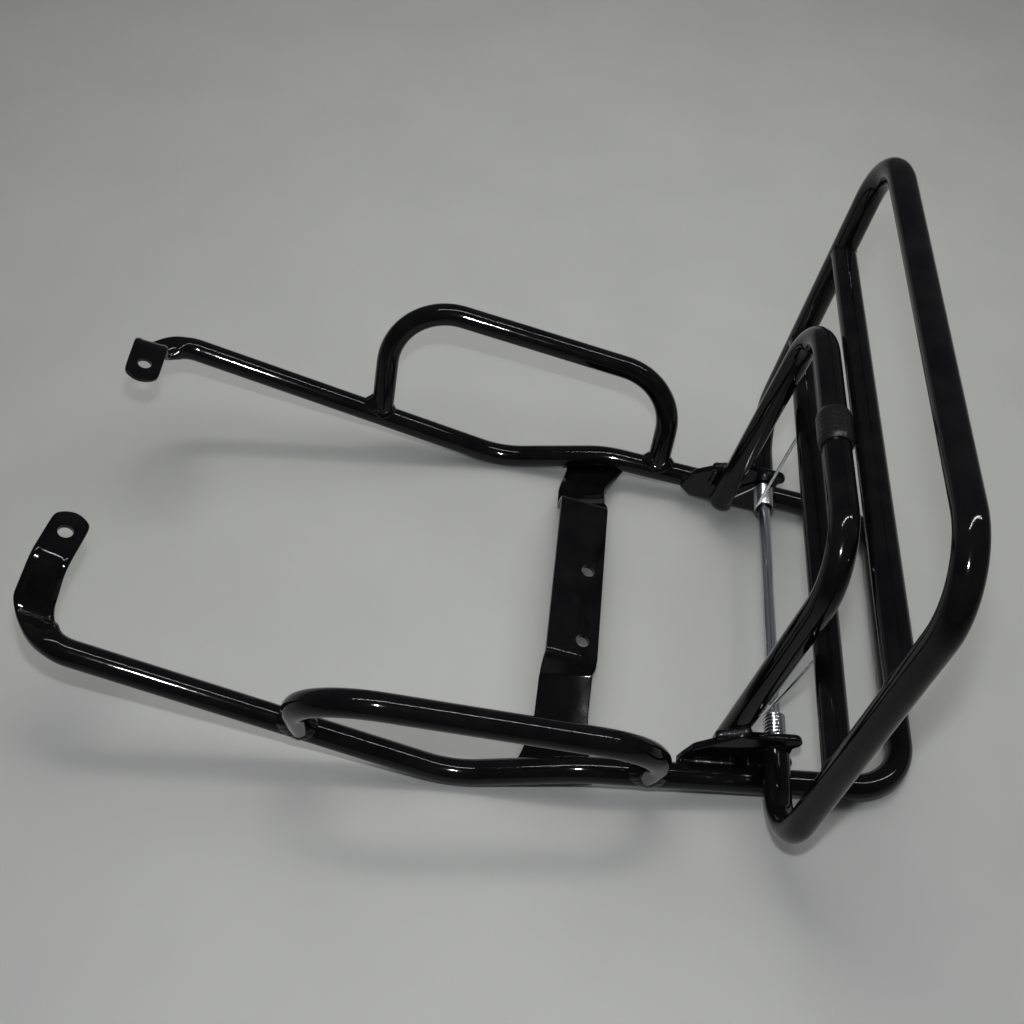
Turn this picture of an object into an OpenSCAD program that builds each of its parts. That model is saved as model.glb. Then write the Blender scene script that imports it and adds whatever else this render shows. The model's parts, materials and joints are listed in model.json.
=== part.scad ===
// Fold-down luggage rack: a bent tube base with two grab handles and a sprung
// flap that stands up against a stop loop and folds back over the tail.
// It lies on a table the way it rests by itself: +X to the rear, +Z up.

/* [Tubes] */
// Outer diameter of every tube
tube_d = 16; // [12:0.5:18]
// Wall thickness of every tube
tube_wall = 1.5; // [1:0.1:2.5]

/* [Base frame] */
// Distance of the front corners ahead of the hinge rod
front_x = 443; // [380:1:520]
// Half the spacing of the rails at the front corners
front_half = 130; // [110:1:150]
// Height of the front corners above the knees
front_rise = 68.5; // [30:0.5:90]
// Distance of the knees, the lowest bends of the rails, ahead of the rod
knee_x = 190; // [170:1:230]
// Half the spacing of the rails at the knees
knee_half = 134; // [115:1:150]
// Depth of the knees below the rear rails
knee_drop = 23; // [10:0.5:35]
// Distance of the upper bends of the rails ahead of the rod
rise_x = 114; // [95:1:140]
// Half the spacing of the rails at the upper bends
rise_half = 130; // [112:1:145]
// Distance of the tail tube behind the rod
tail_x = 87; // [60:1:120]
// Half the spacing of the rails at the tail tube
tail_half = 109; // [100:1:115]
// Depth of the rear rails below the rod
rail_drop = 21; // [18:0.5:30]
// Bend radius of the front corners
front_bend = 28; // [20:1:40]
// Bend radius of the knees
knee_bend = 60; // [30:1:90]
// Bend radius of the upper bends
rise_bend = 80; // [30:1:120]
// Bend radius of the tail corners
tail_bend = 37; // [20:1:45]

/* [Front tabs] */
// Width of the flattened tube ends
tab_w = 22.5; // [20:0.5:28]
// Height of the tabs above the axis of the rails
tab_lift = 29.5; // [15:0.5:45]
// Distance from the middle of the rack to the tab holes
tab_hole_half = 73; // [60:0.5:90]
// Diameter of the tab holes
tab_hole_d = 9; // [6:0.5:12]
// Distance from a tab hole to the tip of its tab
tab_tip = 14.5; // [13:0.5:20]
// Distance from a tab hole to the upper fold of its tab
tab_fold = 22.5; // [15:0.5:30]
// Distance across the sloping step of a tab
tab_step = 14.5; // [6:0.5:25]
// Turn of the tabs towards the rear, in degrees
tab_yaw = 4.5; // [0:0.5:8]

/* [Grab handles] */
// Distance of the front legs of the handles ahead of the rod
handle_front_x = 283; // [240:1:320]
// Distance of the rear legs of the handles ahead of the rod
handle_rear_x = 74; // [60:1:100]
// Height of the front corners of the handles above the rod
handle_front_z = 70.5; // [40:1:100]
// Height of the rear corners of the handles above the rod
handle_rear_z = 46.5; // [30:1:90]
// Half the spacing of the front corners of the handles
handle_front_half = 163.5; // [145:1:190]
// Half the spacing of the rear corners of the handles
handle_rear_half = 148.5; // [135:1:175]
// Bend radius of the handles
handle_bend = 45; // [25:1:48]

/* [Bridge plate] */
// Distance of the middle of the bridge plate ahead of the rod
bridge_x = 127.5; // [115:0.5:140]
// Width of the bridge plate
bridge_w = 34; // [26:1:44]
// Thickness of the bridge plate
bridge_t = 3; // [2:0.5:4]
// Depth of the raised middle of the bridge plate below the rod
bridge_depth = 2.5; // [0:0.5:12]
// Downward tilt of the raised middle towards the rear, in degrees
bridge_tilt = 10; // [0:1:15]
// Half the length of the raised middle
bridge_half = 64; // [55:1:68]
// Half the spacing of the feet of the raised middle
bridge_foot_half = 72; // [70:1:90]
// Height of the raised middle above its feet
bridge_step = 13; // [8:0.5:20]
// Diameter of the two holes in the bridge plate
bridge_hole_d = 9; // [6:0.5:10]
// Distance between the two holes
bridge_hole_gap = 56; // [40:1:70]
// Distance of the pair of holes to the left of the middle
bridge_hole_shift = 23; // [0:1:24]
// Distance of the holes behind the middle line of the plate
bridge_hole_back = 6; // [0:0.5:8]

/* [Hinge] */
// Diameter of the hinge rod
rod_d = 8; // [6:0.5:9]
// Radial running clearance of the rod in its bushes
rod_play = 0.05; // [0.02:0.01:0.08]
// Length of a pivot bush
bush_length = 20; // [12:1:30]
// Thickness of the hinge plates
plate_t = 5; // [4:0.5:6]
// Height of the hinge plates above the rod
plate_top = 15.5; // [14:0.5:22]
// Distance of the rear edge of the hinge plates behind the rod
plate_rear = 15.5; // [14:0.5:16]
// Radius of the half-round notch in the rear edge of the hinge plates
plate_notch = 5.5; // [4:0.5:6]
// Distance of the front tip of the hinge plates ahead of the rod
plate_front = 56; // [55:1:64]
// Distance of the front end of the hinge plates' level top ahead of the rod
plate_shoulder = 24; // [16:1:30]
// Distance from a hinge plate to the end of the flap tube
side_gap = 0.8; // [0.3:0.1:2]

/* [Stop loop] */
// Half the spacing of the top corners of the stop loop
loop_half = 98; // [85:0.5:105]
// Distance of the feet of the stop loop ahead of the rod
loop_foot_x = 27.3; // [22:0.5:32]
// Depth of the feet of the stop loop below the rod
loop_foot_depth = 14; // [6:1:18]
// Bend radius of the stop loop
loop_bend = 38; // [25:1:60]
// Thickness of the rubber buffer on the stop loop
buffer_t = 2.2; // [1.5:0.1:4]
// Length of the rubber buffer
buffer_length = 25; // [15:1:60]
// Distance of the buffer to the left of the middle
buffer_shift = 3; // [0:1:20]
// Gap between the buffer and the flap
buffer_gap = 0.5; // [0.3:0.1:0.8]

/* [Flap] */
// Length of the flap from the rod to its top tube
flap_length = 251; // [210:1:300]
// Backward lean of the raised flap, in degrees
flap_lean = 2.6; // [0:0.1:10]
// Half the spacing of the flap arms at the hinge
flap_hinge_half = 172; // [165:1:185]
// Half the spacing of the flap arms at the top tube
flap_top_half = 166; // [150:1:180]
// Bend radius of the flap at the hinge
flap_hinge_bend = 34; // [20:1:38]
// Bend radius of the flap at the top
flap_top_bend = 43; // [40:1:70]
// Distance from the rod to the lower crossbar
lower_bar = 88; // [84:1:100]
// Distance from the rod to the upper crossbar
upper_bar = 168.4; // [130:0.1:180]

/* [Springs] */
// Diameter of the spring wire
wire_d = 2.2; // [1.6:0.1:2.6]
// Number of turns of each spring
spring_turns = 9; // [6:1:9]
// Radial gap between the rod and the spring coil
coil_gap = 0.5; // [0.3:0.1:1]

/* [Hidden] */

paint = [0.035, 0.035, 0.04];
zinc = [0.72, 0.74, 0.76];
rubber = [0.06, 0.06, 0.06];
bush_color = [0.85, 0.83, 0.76];

tube_r = tube_d / 2;
bore_r = tube_r - tube_wall;
tab_t = 2 * tube_wall;
weld_gap = 0.1;
bend_swell = 0.12;
overlap = 0.5;
hair = 0.02;
vent_d = 4;
through = 1;

function unit(v) = v / norm(v);
function flip(p, side) = [p.x, side * p.y, p.z];

// Rails, seen from the rod: +X to the rear along the rear rails, +Z up
front_corner = [-front_x, front_half, front_rise - knee_drop - rail_drop];
knee = [-knee_x, knee_half, -knee_drop - rail_drop];
rise = [-rise_x, rise_half, -rail_drop];
tail = [tail_x, tail_half, -rail_drop];

// Slope of the front rails in the XZ plane
front_slope = atan2(front_corner.z - knee.z, knee.x - front_corner.x);
front_dir = [-cos(front_slope), 0, sin(front_slope)];
tab_up = [sin(front_slope), 0, cos(front_slope)];

// Points where a tube or strip changes direction
function turn(p, i) = acos(unit(p[i] - p[i - 1]) * unit(p[i + 1] - p[i]));
function tangent(p, i, bend) = bend * tan(turn(p, i) / 2);
function bend_normal(p, i) =
    let (a = unit(p[i] - p[i - 1]), b = unit(p[i + 1] - p[i]))
    unit(b - (a * b) * a);
function bend_center(p, i, bend) =
    p[i] - tangent(p, i, bend) * unit(p[i] - p[i - 1]) + bend * bend_normal(p, i);

// Points on the centre line of a rail at a distance x from the rod
function along(a, b, x) = a + (x - a.x) / (b.x - a.x) * (b - a);
function front_rail(x) = along(front_corner, knee, x);
function rear_rail(x) = along(rise, tail, x);

// The rack rests on its knees and its tail tube, which sets the slope of the table
rail_path = [front_corner, knee, rise, tail];
knee_center = bend_center(rail_path, 1, knee_bend);
knee_axis = unit(cross(knee - front_corner, rise - knee));
function down(slope) = [sin(slope), 0, -cos(slope)];
function knee_reach(slope) = knee_bend * sqrt(1 - pow(down(slope) * knee_axis, 2));
function slope_for(reach) =
    let (d = [tail.x - knee_center.x, tail.z - knee_center.z])
    atan2(d.y, d.x) + asin(reach / norm(d));
table_slope = slope_for(knee_reach(slope_for(knee_bend)));
rest_height = down(table_slope) * tail + tube_r;

// Raised flap, its crossbars and the stop loop
flap_up = [sin(flap_lean), 0, cos(flap_lean)];
flap_top = flap_length * flap_up + [0, flap_top_half, 0];
function arm_half(d) = flap_hinge_half + (flap_top_half - flap_hinge_half) * d / flap_length;
stop_reach = tube_d + buffer_t + buffer_gap;
loop_top = upper_bar * flap_up + [-stop_reach, loop_half, 0];

// The origin is in the middle of the length, on the table
table_dir = [cos(table_slope), 0, sin(table_slope)];
tab_edge = front_corner + tab_w / 2 * front_dir - tab_t / 2 * tab_up;
rear_end = max(tail * table_dir, flap_top * table_dir) + tube_r;
middle_x = (tab_edge * table_dir + rear_end) / 2;

// Hinge plates lie along the rear rails
rail_yaw = atan2(rise_half - tail_half, rise_x + tail_x);
plate_outer = rear_rail(0).y - (tube_r + weld_gap) / cos(rail_yaw);
plate_inner = plate_outer - plate_t / cos(rail_yaw);
stub_end = plate_outer + tube_r * tan(rail_yaw) + side_gap;

// The stop loop stands against the inner faces of the hinge plates
loop_foot_half = plate_inner + loop_foot_x * tan(rail_yaw) - (tube_r + weld_gap) / cos(rail_yaw);
loop_foot = [-loop_foot_x, loop_foot_half, -loop_foot_depth];

// Spring coil and the lines that its legs follow, in the XZ plane
rod_r = rod_d / 2;
wire_r = wire_d / 2;
coil_r = rod_r + coil_gap + wire_r;
coil_pitch = wire_d + 0.15;
coil_start = plate_inner - (coil_r + wire_r) * tan(rail_yaw) - wire_r - 0.3;
spring_touch = 0.2;
lift_target = (lower_bar - tube_r - wire_r - spring_touch) * flap_up;
lift_reach = norm(lift_target);
lift_leg_angle = 90 - flap_lean - asin(coil_r / lift_reach);
lift_leg_length = sqrt(pow(lift_reach, 2) - pow(coil_r, 2));
loop_lean = atan2(loop_top.x - loop_foot.x, loop_top.z - loop_foot.z);
stay_point = loop_foot + [tan(loop_lean) * wire_d + (tube_r + wire_r + spring_touch) / cos(loop_lean), 0, wire_d];
stay_reach = norm([stay_point.x, stay_point.z]);
stay_start = 360 + atan2(stay_point.z, stay_point.x) - acos(coil_r / stay_reach);
coil_sweep = stay_start - (lift_leg_angle + 90) + 360 * (spring_turns - 1);

module on_table() {
    translate([-middle_x, 0, rest_height])
        rotate([0, table_slope, 0])
            children();
}

// Rigid frame with its own X, Y and Z directions and its origin at p
module in_frame(x, y, z, p) {
    multmatrix([[x.x, y.x, z.x, p.x], [x.y, y.y, z.y, p.y], [x.z, y.z, z.z, p.z], [0, 0, 0, 1]])
        children();
}

module rod_between(a, b, r) {
    z = unit(b - a);
    x = unit(cross(abs(z.y) < 0.9 ? [0, 1, 0] : [0, 0, 1], z));
    in_frame(x, cross(z, x), z, a)
        cylinder(h = norm(b - a), r = r, $fn = 48);
}

// The first swing degrees of the bend at point i; a tube swells a little where it is bent
module elbow(p, i, bend, r, swing) {
    a = unit(p[i] - p[i - 1]);
    n = bend_normal(p, i);
    in_frame(-n, a, cross(-n, a), bend_center(p, i, bend))
        rotate_extrude(angle = swing, $fn = 96)
            translate([bend, 0])
                circle(r + bend_swell, $fn = 48);
}

// Round bar along a path whose inner corners are bent to the given radii
module bent_bar(p, bends, r) {
    last = len(p) - 1;
    cuts = [for (i = [0 : last]) i == 0 || i == last ? 0 : tangent(p, i, bends[i])];
    for (i = [0 : last - 1]) {
        d = unit(p[i + 1] - p[i]);
        start = i == 0 ? 0 : cuts[i] - overlap;
        end = i == last - 1 ? 0 : cuts[i + 1] - overlap;
        rod_between(p[i] + start * d, p[i + 1] - end * d, r);
    }
    for (i = [1 : 1 : last - 1])
        elbow(p, i, bends[i], r, turn(p, i));
}

// The same bar, drilled from end to end
module bent_tube(p, bends) {
    last = len(p) - 1;
    first_dir = unit(p[0] - p[1]);
    last_dir = unit(p[last] - p[last - 1]);
    longer = [for (i = [0 : last]) i == 0 ? p[0] + through * first_dir
        : i == last ? p[last] + through * last_dir : p[i]];
    difference() {
        bent_bar(p, bends, tube_r);
        bent_bar(longer, bends, bore_r);
    }
}

// Base frame
corner_path = [knee, front_corner, front_corner - [0, front_half, 0]];
flatten_turn = 50;
crease_y = tab_hole_half + tab_fold + tab_step;
crease_w = 24.5;

// Round tube past the bend, squeezed down to the strap
module flattened_end() {
    a = unit(corner_path[1] - corner_path[0]);
    n = bend_normal(corner_path, 1);
    crease = [crease_w, tab_t, tab_t] + 2 * hair * [1, 1, 1];
    hull() {
        in_frame(-n, a, cross(-n, a), bend_center(corner_path, 1, front_bend))
            rotate([0, 0, flatten_turn])
                translate([front_bend, 0, 0])
                    rotate([90, 0, 0])
                        cylinder(h = 2 * overlap, r = tube_r, center = true, $fn = 32);
        in_frame(-front_dir, [0, 1, 0], tab_up, [front_corner.x, crease_y, front_corner.z])
            cube(crease, center = true);
    }
}

// Strip of thickness t through the points of a path in the YZ plane
module strip(p, t) {
    for (i = [0 : len(p) - 2]) {
        d = p[i + 1] - p[i];
        translate(p[i])
            rotate(atan2(d.y, d.x))
                translate([0, -t / 2])
                    square([norm(d), t]);
    }
    for (i = [1 : len(p) - 2])
        translate(p[i])
            circle(d = t + 2 * hair, $fn = 24);
}

module front_tab() {
    fold_y = tab_hole_half + tab_fold;
    tip_y = tab_hole_half - tab_tip;
    in_frame(-front_dir, [0, 1, 0], tab_up, [front_corner.x, 0, front_corner.z])
        translate([0, tab_hole_half, 0])
            rotate([0, 0, tab_yaw])
                translate([0, -tab_hole_half, 0])
                    difference() {
                        intersection() {
                            rotate([90, 0, 90])
                                linear_extrude(tab_w, center = true)
                                    strip([[crease_y, 0], [fold_y, tab_lift], [tip_y, tab_lift]], tab_t);
                            union() {
                                translate([0, tab_hole_half, 0])
                                    cylinder(h = 4 * tab_lift, r = tab_tip, center = true, $fn = 64);
                                translate([-tab_w, tab_hole_half, -tab_lift])
                                    cube([2 * tab_w, crease_y, 3 * tab_lift]);
                            }
                        }
                        translate([0, tab_hole_half, tab_lift])
                            cylinder(h = 3 * tab_t, d = tab_hole_d, center = true, $fn = 48);
                    }
}

module base_frame() {
    cut = tangent(corner_path, 1, front_bend) - overlap;
    rail_start = front_corner + cut * unit(knee - front_corner);
    half = [rail_start, knee, rise, tail];
    path = concat([for (p = half) flip(p, -1)], [for (i = [3 : -1 : 0]) half[i]]);
    bends = [0, knee_bend, rise_bend, tail_bend, tail_bend, rise_bend, knee_bend, 0];
    color(paint)
        on_table()
            difference() {
                union() {
                    bent_bar(path, bends, tube_r);
                    for (side = [-1, 1])
                        mirror([0, side < 0 ? 1 : 0, 0]) {
                            elbow(corner_path, 1, front_bend, tube_r, flatten_turn);
                            flattened_end();
                            front_tab();
                        }
                }
                bent_bar(path, bends, bore_r);
                for (side = [-1, 1]) {
                    vent(handle_path(side)[0], handle_path(side)[1]);
                    vent(handle_path(side)[3], handle_path(side)[2]);
                }
            }
}

// Hole from the rail into the handle welded over it, which lets the plating bath out
module vent(foot, up) {
    rod_between(foot, foot + tube_d * unit(up - foot), vent_d / 2);
}

// Grab handles
function handle_path(side) = [for (p = [
    front_rail(-handle_front_x),
    [-handle_front_x, handle_front_half, handle_front_z],
    [-handle_rear_x, handle_rear_half, handle_rear_z],
    rear_rail(-handle_rear_x)
]) flip(p, side)];

module grab_handle(side) {
    path = handle_path(side);
    color(paint)
        on_table()
            difference() {
                bent_bar(path, [0, handle_bend, handle_bend, 0], tube_r);
                bent_bar(path, [0, handle_bend, handle_bend, 0], bore_r);
                rod_between(flip(front_rail(-handle_front_x - tube_d), side),
                    flip(front_rail(-handle_front_x + tube_d), side), tube_r + weld_gap);
                rod_between(flip(rear_rail(-handle_rear_x - tube_d), side),
                    flip(rear_rail(-handle_rear_x + tube_d), side), tube_r + weld_gap);
            }
}

module grab_handle_left() { grab_handle(-1); }
module grab_handle_right() { grab_handle(1); }

// Bridge plate
function rail_rise(x) =
    let (c = bend_center(rail_path, 2, rise_bend), z = along(knee, rise, x).z)
    x < c.x - rise_bend * sin(turn(rail_path, 2)) ? z : c.z + sqrt(pow(rise_bend, 2) - pow(x - c.x, 2));

// Solid through a row of rings, each with the same number of points
module loft(rings) {
    count = len(rings);
    sides = len(rings[0]);
    walls = [for (i = [0 : count - 2], k = [0 : sides - 1])
        let (a = i * sides, b = a + sides, n = (k + 1) % sides)
        each [[a + k, b + k, b + n], [a + k, b + n, a + n]]];
    ends = [
        [for (k = [0 : sides - 1]) k],
        [for (k = [sides - 1 : -1 : 0]) (count - 1) * sides + k]
    ];
    polyhedron([for (r = rings) each r], concat(walls, ends), convexity = 10);
}

// Section of the strap, square to Y, sloping up to the rear
function strap_ring(c, slope) =
    let (
        x = (bridge_w / 2 + bend_swell) * [cos(slope), 0, sin(slope)],
        z = (bridge_t / 2 + bend_swell) * [-sin(slope), 0, cos(slope)]
    )
    [c + z - x, c + z + x, c - z + x, c - z - x];

module bridge_plate() {
    foot = [
        -bridge_x - bridge_step * sin(bridge_tilt),
        bridge_foot_half,
        -bridge_depth - bridge_step * cos(bridge_tilt)
    ];
    seat = [-bridge_x, rise_half - 1.5 * tube_r, rail_rise(-bridge_x) - tube_r - weld_gap - bridge_t];
    seat_slope = atan2(rail_rise(seat.x + bridge_w / 2) - rail_rise(seat.x - bridge_w / 2), bridge_w);
    wing_end = rise_half + bridge_t;
    half = [[bridge_foot_half + overlap / 2, -bridge_step], [bridge_foot_half, -bridge_step], [bridge_half, 0]];
    twist_steps = 12;
    color(paint)
        on_table() {
            translate([-bridge_x, 0, -bridge_depth])
                rotate([0, bridge_tilt, 0])
                    difference() {
                        rotate([90, 0, 90])
                            linear_extrude(bridge_w, center = true)
                                strip(concat([for (p = half) [-p.x, p.y]], [for (i = [2 : -1 : 0]) half[i]]),
                                    bridge_t);
                        for (k = [-1, 1])
                            translate([bridge_hole_back, k * bridge_hole_gap / 2 - bridge_hole_shift, 0])
                                cylinder(h = 3 * bridge_t, d = bridge_hole_d, center = true, $fn = 48);
                    }
            for (side = [-1, 1])
                mirror([0, side < 0 ? 1 : 0, 0]) {
                    loft([for (k = [0 : twist_steps])
                        let (s = k / twist_steps)
                        strap_ring(foot + s * (seat - foot), -bridge_tilt + s * (bridge_tilt + seat_slope))]);
                    translate([seat.x, (seat.y + wing_end) / 2, seat.z])
                        rotate([0, -seat_slope, 0])
                            cube([bridge_w, wing_end - seat.y + overlap, bridge_t], center = true);
                }
        }
}

// Hinge plates, their outline seen from the side: a long nose on the rail and an ear round the rod
plate_nose = 9;
ear_r = 5;
module hinge_plate(side) {
    rail_top = tube_r - rail_drop;
    bottom = -rail_drop - 0.75 * tube_r;
    ear = [plate_rear - 1.5 * ear_r, plate_top - ear_r];
    color(paint)
        on_table()
            mirror([0, side < 0 ? 1 : 0, 0])
                difference() {
                    translate([0, rear_rail(0).y, 0])
                        rotate([0, 0, -rail_yaw])
                            translate([0, -tube_r - weld_gap, 0])
                                rotate([90, 0, 0])
                                    linear_extrude(plate_t)
                                        difference() {
                                            union() {
                                                polygon([
                                                    [-plate_front, bottom + 0.75 * plate_nose],
                                                    [-plate_front + plate_nose, bottom],
                                                    [plate_rear, bottom],
                                                    [plate_rear, rail_top],
                                                    [ear.x + 0.8 * ear_r, rail_top + 1.2 * ear_r],
                                                    [ear.x, plate_top],
                                                    [-plate_shoulder, plate_top],
                                                    [-plate_front + 0.8 * plate_nose,
                                                        rail_top + 1.2 * plate_nose],
                                                    [-plate_front + 0.25 * plate_nose, rail_top]
                                                ]);
                                                translate(ear)
                                                    circle(ear_r, $fn = 48);
                                            }
                                            translate([plate_rear, 0])
                                                circle(plate_notch, $fn = 48);
                                        }
                    rotate([90, 0, 0])
                        cylinder(h = 4 * tail_half, r = rod_r + weld_gap, center = true, $fn = 48);
                }
}

module hinge_plate_left() { hinge_plate(-1); }
module hinge_plate_right() { hinge_plate(1); }

// Stop loop and its buffer
module stop_loop() {
    color(paint)
        on_table()
            bent_tube([flip(loop_foot, -1), flip(loop_top, -1), loop_top, loop_foot],
                [0, loop_bend, loop_bend, 0]);
}

module stop_buffer() {
    color(rubber)
        on_table()
            translate([loop_top.x, -buffer_shift, loop_top.z])
                rotate([90, 0, 0])
                    difference() {
                        cylinder(h = buffer_length, r = tube_r + buffer_t, center = true, $fn = 64);
                        cylinder(h = 2 * buffer_length, r = tube_r + 0.05, center = true, $fn = 64);
                    }
}

// Hinge rod, bushes and springs
module hinge_rod() {
    color(zinc)
        on_table()
            rod_between([0, -stub_end - bush_length, 0], [0, stub_end + bush_length, 0], rod_r);
}

module pivot_bush(side) {
    a = [0, side * stub_end, 0];
    b = [0, side * (stub_end + bush_length), 0];
    out = [0, side * through, 0];
    color(bush_color)
        on_table()
            difference() {
                rod_between(a, b, bore_r - 0.02);
                rod_between(a - out, b + out, rod_r + rod_play);
            }
}

module pivot_bush_left() { pivot_bush(-1); }
module pivot_bush_right() { pivot_bush(1); }

// Wire centre line: a stay leg on the stop loop, the coil, and a lift leg on the flap
function coil_point(turned) =
    let (a = stay_start - turned)
    [coil_r * cos(a), coil_start - coil_pitch * turned / 360, coil_r * sin(a)];
spring_step = 20;
lift_leg_lean = 0.06;
spring_path = concat(
    [[stay_point.x, coil_start, stay_point.z]],
    [for (a = [0 : spring_step : coil_sweep - spring_step / 2]) coil_point(a)],
    [coil_point(coil_sweep)],
    [coil_point(coil_sweep) + lift_leg_length * [cos(lift_leg_angle), lift_leg_lean, sin(lift_leg_angle)]]
);
function wire_dir(p, i) = unit(p[min(i + 1, len(p) - 1)] - p[max(i - 1, 0)]);

module torsion_spring(side) {
    p = spring_path;
    sides = 8;
    rings = [for (i = [0 : len(p) - 1])
        let (d = wire_dir(p, i), u = unit(cross([0, 1, 0], d)), v = cross(d, u))
        [for (k = [0 : sides - 1])
            p[i] + wire_r * (cos(360 * k / sides) * u + sin(360 * k / sides) * v)]];
    color(zinc)
        on_table()
            mirror([0, side < 0 ? 1 : 0, 0])
                loft(rings);
}

module torsion_spring_left() { torsion_spring(-1); }
module torsion_spring_right() { torsion_spring(1); }

// Flap
flap_corner = [0, flap_hinge_half, 0];
module flap_frame() {
    stub = [0, stub_end, 0];
    color(paint)
        on_table()
            bent_tube(
                [flip(stub, -1), flip(flap_corner, -1), flip(flap_top, -1), flap_top, flap_corner, stub],
                [0, flap_hinge_bend, flap_top_bend, flap_top_bend, flap_hinge_bend, 0]);
}

module crossbar(d) {
    end = d * flap_up + [0, arm_half(d), 0];
    color(paint)
        on_table()
            difference() {
                rod_between(flip(end, -1), end, tube_r);
                rod_between(flip(end, -1), end, bore_r);
                for (side = [-1, 1])
                    rod_between(flip(flap_corner, side), flip(flap_top, side), tube_r + weld_gap);
            }
}

module flap_crossbar_lower() { crossbar(lower_bar); }
module flap_crossbar_upper() { crossbar(upper_bar); }

base_frame();
grab_handle_left();
grab_handle_right();
bridge_plate();
hinge_plate_left();
hinge_plate_right();
stop_loop();
stop_buffer();
hinge_rod();
torsion_spring_left();
torsion_spring_right();
flap_frame();
flap_crossbar_lower();
flap_crossbar_upper();
pivot_bush_left();
pivot_bush_right();
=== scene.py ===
"""Fold-down luggage rack: gloss black bent tubes, welds, a plated hinge rod and two springs."""
import json
import math

import bpy
import numpy as np
from mathutils import Matrix

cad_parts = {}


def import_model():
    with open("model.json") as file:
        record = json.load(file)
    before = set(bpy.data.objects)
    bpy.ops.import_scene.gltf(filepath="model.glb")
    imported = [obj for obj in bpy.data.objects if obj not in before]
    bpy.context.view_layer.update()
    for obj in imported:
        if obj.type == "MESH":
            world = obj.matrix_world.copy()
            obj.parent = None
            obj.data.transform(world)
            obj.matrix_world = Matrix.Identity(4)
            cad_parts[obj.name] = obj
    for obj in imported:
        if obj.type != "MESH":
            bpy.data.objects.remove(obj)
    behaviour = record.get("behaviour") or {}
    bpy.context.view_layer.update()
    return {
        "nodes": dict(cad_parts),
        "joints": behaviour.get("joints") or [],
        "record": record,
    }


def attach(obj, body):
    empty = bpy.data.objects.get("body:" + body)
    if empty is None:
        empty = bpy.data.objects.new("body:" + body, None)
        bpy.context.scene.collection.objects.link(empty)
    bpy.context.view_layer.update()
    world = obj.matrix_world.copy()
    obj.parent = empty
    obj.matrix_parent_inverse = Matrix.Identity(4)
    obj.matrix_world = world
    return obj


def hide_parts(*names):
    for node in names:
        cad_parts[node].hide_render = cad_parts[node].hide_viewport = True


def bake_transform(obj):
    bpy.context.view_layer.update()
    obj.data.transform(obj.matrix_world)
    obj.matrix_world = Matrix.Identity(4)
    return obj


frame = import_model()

# Sizes are in millimetres, seen from the hinge rod along the rear rails: x to the rear, y to the
# right, z up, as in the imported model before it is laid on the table. The left side mirrors the right.
X_AXIS, Y_AXIS, Z_AXIS = np.eye(3)
MIRROR = np.array([1.0, -1.0, 1.0])
SIDES = (("right", 1), ("left", MIRROR))


def unit(v):
    v = np.asarray(v, float)
    return v / np.linalg.norm(v, axis=-1, keepdims=True)


def along(a, b, x):
    """Point of the line through a and b at a distance x from the rod."""
    return a + (x - a[0]) / (b[0] - a[0]) * (b - a)


# Tubes and welds
TUBE_R, WALL = 8.0, 1.5
WELD_GAP = 0.1
WELD_PITCH = 2.6

# Rails of the base frame, the tail tube between them, and the rear rails' yaw and distance out beside
# the rod
FRONT_CORNER = np.array([-443.0, 130.0, 24.5])
KNEE = np.array([-190.0, 134.0, -44.0])
RISE = np.array([-114.0, 130.0, -21.0])
TAIL = np.array([87.0, 109.0, -21.0])
FRONT_BEND, KNEE_BEND, RISE_BEND, TAIL_BEND = 28.0, 60.0, 80.0, 37.0
RAIL_YAW, RAIL_Y = math.radians(5.9645), 118.09

# Front tabs, from the tip over the hole, the fold and the crease to the round tube
TAB_HOLE_HALF, TAB_HOLE_R = 73.0, 4.5
TAB_LIFT, TAB_TIP, TAB_YAW = 29.5, 14.5, math.radians(4.5)
FOLD_HALF, CREASE_HALF, CORNER_BACK = 95.5, 110.0, 14.4
FOLD_BEND, CREASE_BEND = 13.0, 11.0
TAB_HALF_W, CREASE_HALF_W, TAB_HALF_T = 11.25, 12.4, 1.5
WIDEN_LENGTH, NARROW_LENGTH = 30.0, 22.0
ROUND_LENGTH, TURN_LENGTH = 26.0, 24.0
RIDGE_H, RIDGE_AT, RIDGE_W = 0.5, 0.77, 0.14
RIDGE_START, RIDGE_LENGTH = 9.0, 8.0

# Grab handles: a foot on the front rail, two corners, and a foot on the rear rail
HANDLE_FRONT = np.array([-283.0, 163.5, 70.5])
HANDLE_REAR = np.array([-74.0, 148.5, 46.5])
HANDLE_BEND = 45.0

# Bridge strap. Its right half runs from under the rail over the seat's bend and the foot of the step
# to the middle plate; both edges flare towards the rails, each side by its own front and rear widths
BRIDGE = np.array([-127.5, 0.0, -2.5])
BRIDGE_TILT, SEAT_TILT = -10.0, 16.48
BRIDGE_W, BRIDGE_T, BRIDGE_EDGE = 34.0, 3.0, 0.7
BRIDGE_HOLE_BACK, BRIDGE_HOLE_Y, BRIDGE_HOLE_R = 6.0, (-51.0, 5.0), 4.5
STRAP_LINE = np.array([
    [-127.5, 133.5, -36.2], [-127.5, 118.0, -36.2],
    [-128.6, 70.5, -13.8], [-127.5, 64.0, -2.5],
])
STRAP_BENDS = [0, 14, 5, 5]
STRAP_TWIST = (64.5, 70.0)
FLARE_START, FLARE_LENGTH, FLARE_POWER = 92.0, 34.0, 1.6
RIGHT_FLARE, LEFT_FLARE = (-5.0, 15.0), (11.0, 6.0)
SEAT_BEAD_X, SEAT_BEAD_Y, SEAT_BEAD_DROP = (-143.0, -111.0), 129.5, 9.1

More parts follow.
